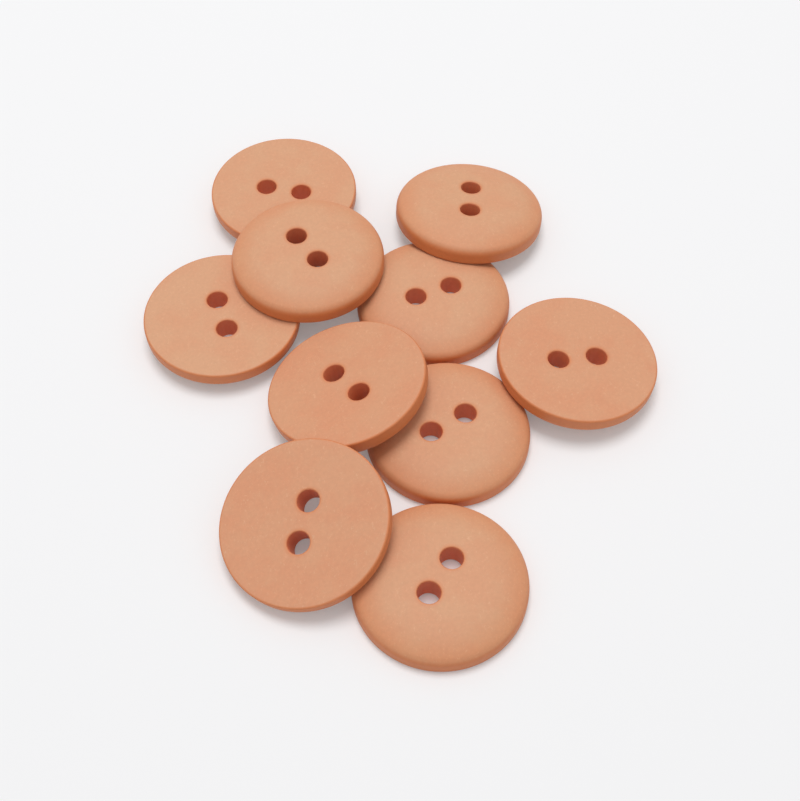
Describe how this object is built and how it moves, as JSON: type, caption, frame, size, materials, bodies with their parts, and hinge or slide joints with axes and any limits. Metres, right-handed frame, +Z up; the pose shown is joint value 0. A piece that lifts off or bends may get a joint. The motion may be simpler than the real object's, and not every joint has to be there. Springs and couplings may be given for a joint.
{
  "type": "set of sewing buttons",
  "caption": "Loose set of round sew-through buttons, each with a dished front and a low domed back, lying in a small heap.",
  "frame": {"origin": "on the surface that the heap lies on, below the middle of the heap's box", "axes": "+Z up from the surface; +Y away from the viewer, along the heap's length; +X to the viewer's right"},
  "size_m": [0.0486, 0.0592, 0.0058],
  "materials": {
    "button_polyester": "matt, tumbled"
  },
  "bodies": {
    "root": {"button_back_left": "button_polyester", "button_back_middle": "button_polyester", "button_back_right": "button_polyester", "button_front": "button_polyester", "button_leaning_front": "button_polyester", "button_leaning_middle": "button_polyester", "button_left": "button_polyester", "button_middle": "button_polyester", "button_right": "button_polyester", "button_top_left": "button_polyester"}
  },
  "joints": []
}
